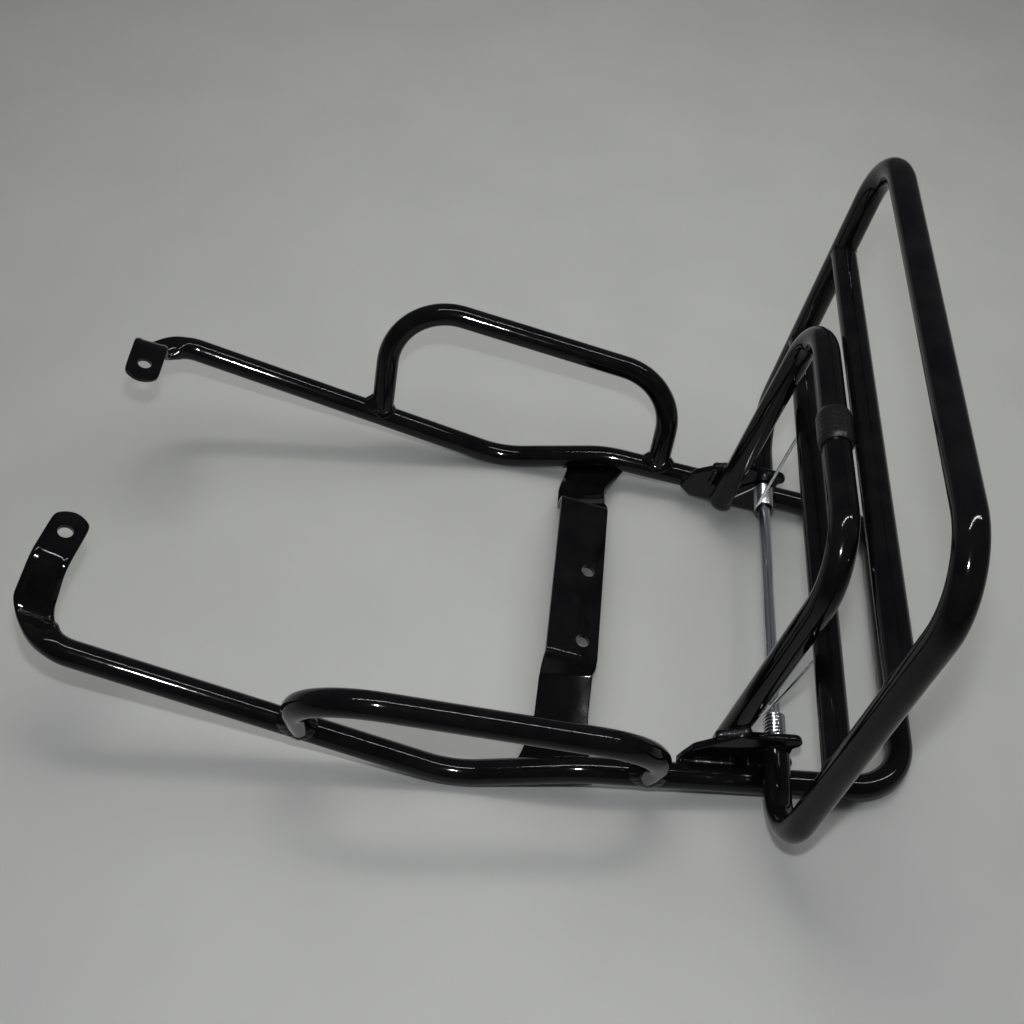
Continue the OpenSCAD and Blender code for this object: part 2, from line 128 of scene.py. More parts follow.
# Hinge plates: corners (along the rail, up, bend radius), and beads (from along and up, to along and
# up, out from the rail's axis, bead radius) on the outer face, the foot and the inner face
PLATE_T, PLATE_RIM = 5.0, 1.7
PLATE_OUTER = -TUBE_R - WELD_GAP
PLATE_INNER = PLATE_OUTER - PLATE_T
PLATE_CORNERS = [
    (-56.0, -20.2, 3.0), (-47.0, -27.0, 4.0), (15.5, -27.0, 1.5), (15.5, -13.5, 1.0),
    (10.6, -6.5, 3.0), (10.4, 5.0, 2.5), (15.0, 9.0, 4.2), (12.4, 15.5, 5.6),
    (-24.0, 15.5, 12.0), (-48.8, -2.2, 8.0), (-53.5, -13.0, 3.0),
]
PLATE_BEADS = [
    (-53.0, -15.0, -20.0, -14.8, PLATE_OUTER + 1.0, 1.9),
    (-14.0, -14.8, 12.0, -14.8, PLATE_OUTER + 1.0, 1.8),
    (-50.0, -27.0, 13.0, -27.0, PLATE_OUTER + 1.4, 1.5),
    (-55.0, -19.5, -53.0, -14.5, PLATE_OUTER + 0.2, 1.8),
    (-35.5, -9.0, -34.0, 7.0, PLATE_INNER - 1.2, 2.0),
    (-19.5, -9.0, -18.0, 13.0, PLATE_INNER - 1.2, 2.5),
    (-38.0, 7.2, -17.0, 15.4, PLATE_INNER + 0.5, 3.2),
]
PLATE_OUTER_Y = RAIL_Y + PLATE_OUTER / math.cos(RAIL_YAW)
PLATE_INNER_Y = RAIL_Y + PLATE_INNER / math.cos(RAIL_YAW)

# Flap, raised
FLAP_LENGTH, FLAP_LEAN = 251.0, math.radians(2.6)
FLAP_HINGE_HALF, FLAP_TOP_HALF = 172.0, 166.0
FLAP_HINGE_BEND, FLAP_TOP_BEND = 34.0, 43.0
FLAP_UP = np.array([math.sin(FLAP_LEAN), 0.0, math.cos(FLAP_LEAN)])
FLAP_CORNER = FLAP_HINGE_HALF * Y_AXIS
FLAP_TOP = FLAP_LENGTH * FLAP_UP + FLAP_TOP_HALF * Y_AXIS
LOWER_BAR, UPPER_BAR = 88.0, 168.4
SIDE_GAP, BUSH_LENGTH = 0.8, 20.0
STUB_END = PLATE_OUTER_Y + TUBE_R * math.tan(RAIL_YAW) + SIDE_GAP

# Stop loop and its buffer, which the raised flap's upper crossbar rests on
BUFFER_T, BUFFER_GAP, BUFFER_LENGTH, BUFFER_SHIFT = 2.2, 0.5, 25.0, 3.0
LOOP_HALF, LOOP_BEND, LOOP_FOOT_X, LOOP_FOOT_DEPTH = 98.0, 38.0, 27.3, 14.0
LOOP_FOOT_HALF = PLATE_INNER_Y + LOOP_FOOT_X * math.tan(RAIL_YAW) + PLATE_OUTER / math.cos(RAIL_YAW)
LOOP_FOOT = np.array([-LOOP_FOOT_X, LOOP_FOOT_HALF, -LOOP_FOOT_DEPTH])
LOOP_TOP = UPPER_BAR * FLAP_UP - (2 * TUBE_R + BUFFER_T + BUFFER_GAP) * X_AXIS + LOOP_HALF * Y_AXIS
LOOP_LEAN = math.atan2(LOOP_TOP[0] - LOOP_FOOT[0], LOOP_TOP[2] - LOOP_FOOT[2])

# Rod and springs. A stay leg runs from the stop loop to the coil, a lift leg from it to the lower bar
ROD_R, ROD_CHAMFER = 4.0, 0.6
WIRE_R, COIL_GAP, TURNS = 1.1, 0.5, 9
SPRING_TOUCH, SPRING_MARGIN, WINDING_GAP = 0.2, 0.3, 0.15
COIL_R = ROD_R + COIL_GAP + WIRE_R
COIL_PITCH = 2 * WIRE_R + WINDING_GAP
COIL_START = PLATE_INNER_Y - (COIL_R + WIRE_R) * math.tan(RAIL_YAW) - WIRE_R - SPRING_MARGIN
STAY_X = (LOOP_FOOT[0] + 2 * WIRE_R * math.tan(LOOP_LEAN)
          + (TUBE_R + WIRE_R + SPRING_TOUCH) / math.cos(LOOP_LEAN))
STAY_POINT = np.array([STAY_X, COIL_START, LOOP_FOOT[2] + 2 * WIRE_R])
LIFT_REACH = LOWER_BAR - TUBE_R - WIRE_R - SPRING_TOUCH
LIFT_ANGLE = math.pi / 2 - FLAP_LEAN - math.asin(COIL_R / LIFT_REACH)
LIFT_LENGTH, LIFT_LEAN = math.sqrt(LIFT_REACH ** 2 - COIL_R ** 2), 0.06
STAY_START = (2 * math.pi + math.atan2(STAY_POINT[2], STAY_POINT[0])
              - math.acos(COIL_R / math.hypot(STAY_POINT[0], STAY_POINT[2])))
COIL_SWEEP = STAY_START - (LIFT_ANGLE + math.pi / 2) + 2 * math.pi * (TURNS - 1)
COIL_LENGTH = COIL_PITCH * COIL_SWEEP / (2 * math.pi)
BLEND_LEAN = 0.3

# The rack lies on the table turned about the rod by the table's slope
ROD_AT = np.array(frame["joints"][0]["pos_m"])
FRONT_SLOPE = math.atan2(FRONT_CORNER[2] - KNEE[2], KNEE[0] - FRONT_CORNER[0])
TAB_AXIS = [m for m in frame["record"]["mounts"] if m["name"] == "tab_hole_right"][0]["axis"]
SLOPE = math.atan2(TAB_AXIS[0], TAB_AXIS[2]) - FRONT_SLOPE
TAB_X = np.array([math.cos(FRONT_SLOPE), 0, -math.sin(FRONT_SLOPE)])
TAB_UP = np.array([math.sin(FRONT_SLOPE), 0, math.cos(FRONT_SLOPE)])


def on_table(p):
    """Millimetres seen from the rod to metres on the table: turned about Y by the slope, then moved."""
    p = np.asarray(p, float)
    x = p[..., 0] * math.cos(SLOPE) + p[..., 2] * math.sin(SLOPE)
    z = p[..., 2] * math.cos(SLOPE) - p[..., 0] * math.sin(SLOPE)
    return ROD_AT + np.stack([x, p[..., 1], z], -1) / 1000


def smooth(t):
    """0 below 0, 1 above 1, and 3t^2 - 2t^3 between."""
    t = np.clip(t, 0, 1)
    return t * t * (3 - 2 * t)


# ---------------------------------------------------------------- centre lines and sections

def bent_line(corners, radii, step=4.0):
    """Centre line of a bent bar: straight up to each corner's tangent point, then round the corner on
    an arc of the given radius, in steps of so many degrees. Returns the points and their directions."""
    c = np.asarray(corners, float)
    points, dirs = [c[:1]], [unit(c[1:2] - c[:1])]
    for i in range(1, len(c) - 1):
        a, b = unit(c[i] - c[i - 1]), unit(c[i + 1] - c[i])
        turn = math.acos(np.clip(a @ b, -1, 1))
        n = unit(b - (a @ b) * a)
        middle = c[i] - radii[i] * math.tan(turn / 2) * a + radii[i] * n
        t = np.linspace(0, turn, max(3, math.ceil(math.degrees(turn) / step) + 1))[:, None]
        arc = middle + radii[i] * (np.sin(t) * a - np.cos(t) * n)
        points += [arc[:1] - a, arc, arc[-1:] + b]
        dirs += [a[None], np.cos(t) * a + np.sin(t) * n, b[None]]
    points.append(c[-1:])
    dirs.append(unit(c[-1:] - c[-2:-1]))
    return np.vstack(points), np.vstack(dirs)


def run_of(points):
    """Length along a line of points."""
    return np.r_[0, np.cumsum(np.linalg.norm(np.diff(points, axis=0), axis=1))]


def denser(points, dirs, start, end, spacing):
    """The same line with more points between two lengths along it."""
    s = run_of(points)
    more = np.union1d(s, np.arange(start, end, spacing))
    points, dirs = (np.stack([np.interp(more, s, v[:, k]) for k in range(3)], 1) for v in (points, dirs))
    return points, unit(dirs)


def section(w, h, corner, sides):
    """Rounded rectangle of half sizes w and h: a corner circle's cosine and sine, pushed out by what is
    left of w and h towards the quadrant that the angle is in. Equal sizes give a circle."""
    t = (np.arange(sides) + 0.5) * 2 * math.pi / sides
    w, h, corner = (np.asarray(v, float)[..., None] for v in (w, h, corner))
    x = corner * np.cos(t) + (w - corner) * np.sign(np.cos(t))
    y = corner * np.sin(t) + (h - corner) * np.sign(np.sin(t))
    return x, y


def pressed_section(w, h, grown, ridged, sides=96):
    """Section of a tube pressed flat: cosine and sine to a power that goes from 1 on the round tube to a
    third on the flat strap, with a low bell-shaped ridge along each edge, as pressing leaves it."""
    t = (np.arange(sides) + 0.5) * 2 * math.pi / sides
    power = 1 / (3 - 2 * grown[:, None])
    across = np.sign(np.cos(t)) * np.abs(np.cos(t)) ** power
    up = np.sign(np.sin(t)) * np.abs(np.sin(t)) ** power
    ridge = RIDGE_H * np.exp(-((np.abs(across) - RIDGE_AT) / RIDGE_W) ** 2) * ridged[:, None]
    return w[:, None] * across, h[:, None] * up + ridge * np.sign(up)


def rings(points, u, v, x, y):
    """Grid of points: each ring is its centre plus x times u plus y times v."""
    shape = (len(points), np.shape(x)[-1])
    x, y = np.broadcast_to(x, shape), np.broadcast_to(y, shape)
    return points[:, None] + x[..., None] * u[:, None] + y[..., None] * v[:, None]


def frames(dirs, ref):
    """Two directions square to each direction of the line, the first one square to ref too."""
    u = unit(np.cross(np.broadcast_to(ref, dirs.shape), dirs))
    return u, np.cross(dirs, u)


# ---------------------------------------------------------------- meshes

def grid_faces(rows, cols, closed_rows=False):
    """Faces of a grid whose rows are closed rings, outward when row times ring turns right-handed. The
    first and last ring are capped, unless the rows close up too."""
    i = np.arange(rows if closed_rows else rows - 1)[:, None]
    j = np.arange(cols)[None]
    n, k = (i + 1) % rows, (j + 1) % cols
    quads = np.stack([i * cols + j, i * cols + k, n * cols + k, n * cols + j], -1).reshape(-1, 4).tolist()
    if not closed_rows:
        quads += [list(range(cols))[::-1], list(range((rows - 1) * cols, rows * cols))]
    return quads


def mesh_object(name, verts, faces):
    mesh = bpy.data.meshes.new(name)
    mesh.from_pydata(verts.tolist(), [], faces)
    mesh.validate()
    obj = bpy.data.objects.new(name, mesh)
    bpy.context.scene.collection.objects.link(obj)
    return obj


def drill(obj, hole):
    """Takes a round hole out of a piece: a cylinder through a centre along an axis, in rack millimetres."""
    centre, axis, radius = hole
    reach = 12 * axis
    u, v = frames(np.repeat(unit(axis)[None], 2, 0), Y_AXIS)
    size = [radius] * 2
    tool_rings = rings(np.array([centre - reach, centre + reach]), u, v, *section(size, size, size, 48))
    tool = mesh_object("drill", on_table(tool_rings.reshape(-1, 3)), grid_faces(*tool_rings.shape[:2]))
    cut = obj.modifiers.new("hole", "BOOLEAN")
    cut.object, cut.solver = tool, "EXACT"
    bpy.context.view_layer.update()
    solved = obj.evaluated_get(bpy.context.evaluated_depsgraph_get())
    mesh = bpy.data.meshes.new_from_object(solved)
    obj.modifiers.clear()
    old, obj.data = obj.data, mesh
    bpy.data.meshes.remove(old)
    bpy.data.objects.remove(tool)


def piece(name, surfaces, material, body, nodes, slot, cuts=(), sharp=35.0):
    """One mesh object from grids of points (in rack millimetres) or from (points, faces) pairs, with
    round holes drilled through it and edges over so many degrees kept sharp. It rides on its body, if it
    has a single one, and stands for its CAD nodes."""
    verts, faces, count = [], [], 0
    for s in surfaces:
        p, f = s if isinstance(s, tuple) else (s, grid_faces(*s.shape[:2]))
        p = np.asarray(p).reshape(-1, 3)
        verts.append(p)
        faces += [[k + count for k in face] for face in f]
        count += len(p)
    obj = mesh_object(name, on_table(np.vstack(verts)), faces)
    for hole in cuts:
        drill(obj, hole)
    for poly in obj.data.polygons:
        poly.use_smooth = True
    obj.data.set_sharp_from_angle(angle=math.radians(sharp))
    obj.data.materials.clear()
    obj.data.materials.append(material)
    if body:
        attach(obj, body)
    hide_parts(*nodes)
    return obj


def painted(name, surfaces, body, nodes=(), **more):
    """A piece in the rack's black paint."""
    return piece(name, surfaces, PAINT, body, nodes, "gloss_black", **more)


def bar(corners, radii, lip=0.0):
    """Bent round bar: a circle of the tube's radius carried along a bent line. With a lip, both ends are
    open tube ends: the edge is rounded, and the wall is turned in and runs back inside."""
    points, dirs = bent_line(corners, radii)
    across = corners[2] - corners[1] if len(corners) > 2 else Z_AXIS + 0.01 * X_AXIS
    u, v = frames(dirs, unit(np.cross(corners[1] - corners[0], across)))
    size = np.full(len(points), TUBE_R)
    if lip:
        edge, turned_in = 0.35, 0.1
        inside = np.array([lip, turned_in, 0.0, edge])[:, None]
        near, far = points[0] + inside * dirs[0], points[-1] - inside[::-1] * dirs[-1]
        points = np.vstack([near, points[1:-1], far])
        u, v = (np.vstack([w[:1]] * 4 + [w[1:-1]] + [w[-1:]] * 4) for w in (u, v))
        end = np.array([TUBE_R - WALL, TUBE_R - WALL, TUBE_R - edge, TUBE_R])
        size = np.r_[end, size[1:-1], end[::-1]]
    return rings(points, u, v, *section(size, size, size, 48))


def lathe(profile, centre, sides=64):
    """Ring of revolution about Y: profile rows are (length along the axis, radius)."""
    p = np.asarray(profile, float)
    t = np.arange(sides) * 2 * math.pi / sides
    around = -np.cos(t)[:, None] * Z_AXIS - np.sin(t)[:, None] * X_AXIS
    return centre + p[:, None, :1] * Y_AXIS + p[:, None, 1:] * around[None]


def ripple(s, pitch):
    """Coin pattern of a hand-laid weld along its length: an arch repeated every pitch, each a little
    higher or lower than the last, over a slow swell."""
    coin = np.floor(s / pitch)
    uneven = 0.55 * np.sin(2.3 * coin + 0.7) + 0.45 * np.sin(5.1 * coin)
    return np.abs(np.sin(math.pi * s / pitch)) * (1 + 0.5 * uneven) + 0.6 * np.sin(0.41 * s + 1.0)


def saddle_weld(foot, leg, rail, size, ahead=0.0, behind=0.0):
    """Weld bead where a leg meets a rail. Each line of the leg at an angle round it is followed until
    its distance from the rail's axis is the rail's radius; a rippled lens-shaped ring runs through those
    points. It can be fuller ahead of and behind the leg, by the square of the cosine to the rail."""
    count, leg, rail = 144, unit(leg), unit(rail)
    t = (np.arange(count) * 2 * math.pi / count)[:, None]
    u = unit(np.cross(leg, rail))
    v = np.cross(leg, u)
    out = np.cos(t) * u + np.sin(t) * v
    start = foot + 0.95 * TUBE_R * out

    def off_rail(w):
        return w - (w @ rail)[..., None] * rail

    a, b = off_rail(start - foot), off_rail(leg[None])
    qa, qb, qc = (b * b).sum(-1), 2 * (a * b).sum(-1), (a * a).sum(-1) - TUBE_R * TUBE_R
    far = (-qb + np.sqrt(np.maximum(qb * qb - 4 * qa * qc, 0))) / (2 * qa)
    curve = start + far[:, None] * leg
    skin = unit(off_rail(curve - foot))
    way = unit(np.roll(curve, -1, 0) - np.roll(curve, 1, 0))
    p = unit(out + skin)
    p = unit(p - (p * way).sum(-1, keepdims=True) * way)
    q = np.cross(way, p)
    s = run_of(np.vstack([curve, curve[:1]]))
    pitch = s[-1] / round(s[-1] / WELD_PITCH)
    fuller = 1 + ahead * np.maximum(-out @ rail, 0) ** 2 + behind * np.maximum(out @ rail, 0) ** 2
    r = size * (1 + 0.16 * ripple(s[:-1], pitch)) * fuller
    x, y = section(r, 1.45 * r, r, 14)
    return rings(curve - 0.35 * p, p, q, 0.8 * x, y), grid_faces(count, 14, closed_rows=True)


def run_weld(a, b, size):
    """Straight weld bead: a round bar with the coin ripple, closing to a point at both ends on a quarter
    ellipse."""
    a, b = np.asarray(a, float), np.asarray(b, float)
    length = np.linalg.norm(b - a)
    s = np.linspace(0, length, max(24, int(length * 3)))
    dirs = np.repeat(unit(b - a)[None], len(s), 0)
    end = np.clip(np.minimum(s, length - s) / (1.4 * size), 0, 1)
    r = size * (0.05 + 0.95 * np.sqrt(1 - (1 - end) ** 2)) * (1 + 0.13 * ripple(s, WELD_PITCH))
    u, v = frames(dirs, Z_AXIS + 0.02 * Y_AXIS)
    return rings(a + s[:, None] * dirs, u, v, *section(r, r, r, 12))


# ---------------------------------------------------------------- materials

def material(name, color, roughness, metallic=0.0):
    m = bpy.data.materials.new(name)
    m.use_nodes = True
    shader = m.node_tree.nodes["Principled BSDF"]
    shader.inputs["Base Color"].default_value = (*color, 1)
    shader.inputs["Roughness"].default_value = roughness
    shader.inputs["Metallic"].default_value = metallic
    return m, m.node_tree.nodes, m.node_tree.links, shader


def noise(nodes, links, scale, detail=3.0, stretch=(1, 1, 1)):
    """Noise on Object coordinates, in cycles per metre."""
    place = nodes.new("ShaderNodeTexCoord")
    turn = nodes.new("ShaderNodeMapping")
    turn.inputs["Scale"].default_value = stretch
    field = nodes.new("ShaderNodeTexNoise")
    field.inputs["Scale"].default_value = scale
    field.inputs["Detail"].default_value = detail
    links.new(place.outputs["Object"], turn.inputs["Vector"])
    links.new(turn.outputs["Vector"], field.inputs["Vector"])
    return field.outputs["Fac"]


def spread(nodes, links, value, low, high, start=0.3, stop=0.7):
    """Maps a value between start and stop to one between low and high."""
    m = nodes.new("ShaderNodeMapRange")
    m.inputs["From Min"].default_value, m.inputs["From Max"].default_value = start, stop
    m.inputs["To Min"].default_value, m.inputs["To Max"].default_value = low, high
    links.new(value, m.inputs["Value"])
    return m.outputs["Result"]


def bump(nodes, links, shader, heights, distance):
    """Joins height fields, one over the other, into the shader's normal."""
    last = None
    for value, strength in heights:
        b = nodes.new("ShaderNodeBump")
        b.inputs["Strength"].default_value = strength
        b.inputs["Distance"].default_value = distance
        links.new(value, b.inputs["Height"])
        if last:
            links.new(last, b.inputs["Normal"])
        last = b.outputs["Normal"]
    links.new(last, shader.inputs["Normal"])


def blend_colors(nodes, links, value, low, high):
    """Goes from one colour to the other where the value is between 0.35 and 0.7."""
    ramp = nodes.new("ShaderNodeValToRGB")
    for stop, place, color in zip(ramp.color_ramp.elements, (0.35, 0.7), (low, high)):
        stop.color, stop.position = (*color, 1), place
    links.new(value, ramp.inputs["Fac"])
    return ramp.outputs["Color"]


def gloss_paint():
    """Black stoving enamel: deep gloss, a faint slow wave, fine orange peel and uneven polish."""
    m, nodes, links, shader = material("gloss_black_enamel", (0.004, 0.004, 0.004), 0.07)
    cloud = noise(nodes, links, 60)
    shade = blend_colors(nodes, links, cloud, (0.0025, 0.0025, 0.003), (0.006, 0.0055, 0.006))
    links.new(shade, shader.inputs["Base Color"])
    links.new(spread(nodes, links, noise(nodes, links, 90), 0.045, 0.085), shader.inputs["Roughness"])
    slow_wave, orange_peel = noise(nodes, links, 110, 1.0), noise(nodes, links, 900, 2.0)
    bump(nodes, links, shader, [(slow_wave, 0.10), (orange_peel, 0.03)], 0.0006)
    shader.inputs["Specular IOR Level"].default_value = 0.2
    return m


def groove_shade(nodes, links):
    """Painted shade: darker towards the rod, so that the grooves between the windings of a coil stay dark
    as shaded hollows: the distance of a point from the rod's axis, spread from just outside the wire's
    middle to near its outer side."""
    place = nodes.new("ShaderNodeTexCoord")
    away, flat, length = (nodes.new("ShaderNodeVectorMath") for _ in range(3))
    away.operation, flat.operation, length.operation = "SUBTRACT", "MULTIPLY", "LENGTH"
    away.inputs[1].default_value = ROD_AT.tolist()
    flat.inputs[1].default_value = (1, 0, 1)
    links.new(place.outputs["Object"], away.inputs[0])
    links.new(away.outputs["Vector"], flat.inputs[0])
    links.new(flat.outputs["Vector"], length.inputs[0])
    deep, proud = (COIL_R + 0.25) / 1000, (COIL_R + 0.95) / 1000
    return spread(nodes, links, length.outputs["Value"], 0.04, 1.0, deep, proud)


def zinc_plate(name, color, roughness, grooves=False):
    """Bright zinc on drawn steel: fine lines and cloudy grey patches drawn out along Y, and, if asked,
    painted shade that darkens the grooves between windings."""
    m, nodes, links, shader = material(name, color, roughness, 1.0)
    cloud = noise(nodes, links, 420, 3.0, (1, 0.06, 1))
    shade = blend_colors(nodes, links, cloud, tuple(0.62 * c for c in color), color)
    # Painted shade in the grooves between windings: the colour is scaled down towards the rod
    if grooves:
        scaled = nodes.new("ShaderNodeVectorMath")
        scaled.operation = "SCALE"
        links.new(shade, scaled.inputs[0])
        links.new(groove_shade(nodes, links), scaled.inputs["Scale"])
        shade = scaled.outputs["Vector"]
    links.new(shade, shader.inputs["Base Color"])
    links.new(spread(nodes, links, cloud, roughness * 1.6, roughness * 0.7), shader.inputs["Roughness"])
    bump(nodes, links, shader, [(noise(nodes, links, 2600, 2.0, (1, 0.03, 1)), 0.25)], 0.0002)
    return m


def soft_rubber():
    m, nodes, links, shader = material("buffer_rubber", (0.005, 0.005, 0.005), 0.35)
    grain = noise(nodes, links, 1500, 3.0)
    shade = blend_colors(nodes, links, grain, (0.004, 0.004, 0.004), (0.009, 0.009, 0.009))
    links.new(shade, shader.inputs["Base Color"])
    links.new(spread(nodes, links, grain, 0.22, 0.40), shader.inputs["Roughness"])
    bump(nodes, links, shader, [(grain, 0.12)], 0.0003)
    shader.inputs["Specular IOR Level"].default_value = 0.3
    return m


def nylon():
    m, nodes, links, shader = material("bush_nylon", (0.62, 0.60, 0.52), 0.45)
    shade = blend_colors(nodes, links, noise(nodes, links, 300), (0.55, 0.52, 0.43), (0.66, 0.64, 0.56))
    links.new(shade, shader.inputs["Base Color"])
    bump(nodes, links, shader, [(noise(nodes, links, 2500), 0.15)], 0.0002)
    return m


PAINT = gloss_paint()
ROD_ZINC = zinc_plate("rod_zinc", (0.80, 0.82, 0.84), 0.15)
# The spring's zinc carries painted shade in the grooves between its windings
WIRE_ZINC = zinc_plate("spring_zinc", (0.80, 0.82, 0.84), 0.12, grooves=True)
RUBBER = soft_rubber()
NYLON = nylon()


# ---------------------------------------------------------------- base frame

def tab_point(x, y, z):
    """Point of a front tab to rack coordinates: turned by the tab's yaw about its hole, then set on the
    slope of the front rails."""
    side = y - TAB_HOLE_HALF
    dx = x * math.cos(TAB_YAW) - side * math.sin(TAB_YAW)
    dy = x * math.sin(TAB_YAW) + side * math.cos(TAB_YAW)
    return FRONT_CORNER * [1, 0, 1] + dx * TAB_X + (TAB_HOLE_HALF + dy) * Y_AXIS + z * TAB_UP


def base_tube():
    """The base tube as rings from the right tip over the tail to the left tip. From the tip the section
    is a flat strap, cut to an arc; past the crease its half height grows, and its half width shrinks, on
    a smooth step to the tube's radius, while the rings turn from across the tab to square on the tube."""
    tab_tip, fold = tab_point(0, TAB_HOLE_HALF - TAB_TIP, TAB_LIFT), tab_point(0, FOLD_HALF, TAB_LIFT)
    crease = tab_point(0, CREASE_HALF, 0)
    front = FRONT_CORNER + CORNER_BACK * unit(KNEE - FRONT_CORNER)
    corners = [tab_tip, fold, crease, front, KNEE, RISE, TAIL, TAIL * [1, 0, 1]]
    radii = [0, FOLD_BEND, CREASE_BEND, FRONT_BEND, KNEE_BEND, RISE_BEND, TAIL_BEND, 0]
    points, dirs = bent_line(corners, radii, 3.0)
    points, dirs = denser(points, dirs, 0, CREASE_HALF, 1.0)
    points, dirs = denser(points, dirs, 0, TAB_TIP, 0.3)
    s = run_of(points)
    past = s - s[np.argmin(np.linalg.norm(points - crease, axis=1))]
    grown = smooth((past - 2) / ROUND_LENGTH)
    wide = smooth(past / WIDEN_LENGTH + 1) * (1 - smooth((past - 1) / NARROW_LENGTH))
    tip = np.sqrt(np.maximum(TAB_TIP ** 2 - np.maximum(TAB_TIP - s, 0) ** 2, 0.01))
    strap = TAB_HALF_W + (CREASE_HALF_W - TAB_HALF_W) * wide
    half_w = (tip ** -10 + strap ** -10) ** -0.1 * (1 - grown) + TUBE_R * grown
    half_t = TAB_HALF_T + (TUBE_R - TAB_HALF_T) * grown
    ridged = smooth((s - TAB_TIP - RIDGE_START) / RIDGE_LENGTH) * (1 - grown)
    across = tab_point(-1, TAB_HOLE_HALF, 0) - tab_point(0, TAB_HOLE_HALF, 0)
    turned = smooth(past / TURN_LENGTH)[:, None]
    u = unit(across * (1 - turned) + unit(np.cross(Z_AXIS, dirs)) * turned)
    v = unit(np.cross(dirs, u))
    right = rings(points, u, v, *pressed_section(half_w, half_t, grown, ridged))
    return np.vstack([right, (right * MIRROR)[-2::-1]])


tab_holes = [(tab_point(0, TAB_HOLE_HALF, TAB_LIFT) * sign, TAB_UP, TAB_HOLE_R) for _, sign in SIDES]
painted("base_tube", [base_tube()], "base", ["base_frame"], cuts=tab_holes)

# ---------------------------------------------------------------- grab handles

handle = np.array([along(FRONT_CORNER, KNEE, HANDLE_FRONT[0]), HANDLE_FRONT, HANDLE_REAR,
                   along(RISE, TAIL, HANDLE_REAR[0])])
for side, sign in SIDES:
    corners = handle * sign
    painted(f"grab_handle_tube_{side}", [bar(corners, [0, HANDLE_BEND, HANDLE_BEND, 0])], "base",
            [f"grab_handle_{side}"])
    front = saddle_weld(corners[0], corners[1] - corners[0], (KNEE - FRONT_CORNER) * sign, 1.5, 3.0, 0.9)
    rear = saddle_weld(corners[3], corners[2] - corners[3], (TAIL - RISE) * sign, 1.5, 1.9, 1.9)
    painted(f"grab_handle_welds_{side}", [front, rear], "base")


# ---------------------------------------------------------------- bridge strap

def bridge_strap():
    """Strap from rail to rail through its bends, drawn from right to left. Its width direction turns
    inside the step, from the rails' rise at the seats to the plate's own tilt in the middle, and both
    edges flare out towards the rails by a power of the distance past the flare's start."""
    corners = np.vstack([STRAP_LINE, (STRAP_LINE * MIRROR)[::-1]])
    points, dirs = bent_line(corners, STRAP_BENDS + STRAP_BENDS[::-1], 6.0)
    points, dirs = denser(points, dirs, 0, run_of(points)[-1], 1.5)
    out = np.abs(points[:, 1])
    tilt = np.radians(np.interp(out, STRAP_TWIST, [BRIDGE_TILT, SEAT_TILT]))
    u = np.stack([np.cos(tilt), 0 * tilt, np.sin(tilt)], 1)
    v = unit(np.cross(dirs, u))
    flare = ((out - FLARE_START) / FLARE_LENGTH).clip(0, 1) ** FLARE_POWER
    front, rear = (np.where(points[:, 1] > 0, r, l) * flare for r, l in zip(RIGHT_FLARE, LEFT_FLARE))
    points = points + ((rear - front) / 2)[:, None] * u
    w = BRIDGE_W / 2 + (rear + front) / 2
    h, edge = (np.full(len(points), k) for k in (BRIDGE_T / 2, BRIDGE_EDGE))
    return rings(points, u, v, *section(w, h, edge, 20))


def seat_bead_end(x):
    """Point of the inner lower side of the rail over the strap's seat."""
    rail_z = np.interp(x, [KNEE[0], RISE[0]], [KNEE[2], RISE[2]])
    return np.array([x, SEAT_BEAD_Y, rail_z - SEAT_BEAD_DROP])


plate_tilt = math.radians(-BRIDGE_TILT)
plate_x = np.array([math.cos(plate_tilt), 0, -math.sin(plate_tilt)])
plate_up = np.array([math.sin(plate_tilt), 0, math.cos(plate_tilt)])
hole_row = BRIDGE + BRIDGE_HOLE_BACK * plate_x
bridge_holes = [(hole_row + y * Y_AXIS, plate_up, BRIDGE_HOLE_R) for y in BRIDGE_HOLE_Y]
painted("bridge_strap", [bridge_strap()], "base", ["bridge_plate"], cuts=bridge_holes, sharp=30)
front_end, rear_end = (seat_bead_end(x) for x in SEAT_BEAD_X)
seat_beads = [run_weld(front_end * sign, rear_end * sign, 1.3) for _, sign in SIDES]
painted("bridge_welds", seat_beads, "base")


# ---------------------------------------------------------------- hinge plates

def plate_to_rack(x, y, z):
    """Plate coordinates (along the rail, out from the rail's axis, up) to rack coordinates."""
    return np.stack([x * math.cos(RAIL_YAW) + y * math.sin(RAIL_YAW),
                     RAIL_Y - x * math.sin(RAIL_YAW) + y * math.cos(RAIL_YAW), z + 0 * x], -1)


def hinge_plate():
    """Flat plate from its rounded outline. Each row is the outline drawn in by 1 minus the sine of an
    edge angle and moved across by 1 minus its cosine, so that both rims are quarter rounds."""
    c = np.array([(x, 0, z) for x, z, _ in PLATE_CORNERS], float)
    start = (c[-1] + c[0]) / 2
    points, dirs = bent_line(np.vstack([start, c, start]), [0] + [r for *_, r in PLATE_CORNERS] + [0], 8.0)
    points, dirs = points[:-1], dirs[:-1]
    inward = np.cross(dirs, Y_AXIS)
    t = np.linspace(0, math.pi / 2, 6)
    drawn, moved = PLATE_RIM * (1 - np.sin(t)), PLATE_RIM * (1 - np.cos(t))
    offset = np.r_[drawn, drawn[::-1]]
    depth = np.r_[PLATE_OUTER - moved, PLATE_INNER + moved[::-1]]
    flat = points[None] + offset[:, None, None] * inward[None]
    return plate_to_rack(flat[..., 0], depth[:, None] + 0 * flat[..., 0], flat[..., 2])


def plate_bead(x0, z0, x1, z1, y, size, sign):
    """Straight bead on a hinge plate, from its row of the list."""
    a, b = plate_to_rack(np.array([x0, x1]), np.array([y, y]), np.array([z0, z1])) * sign
    return run_weld(a, b, size)


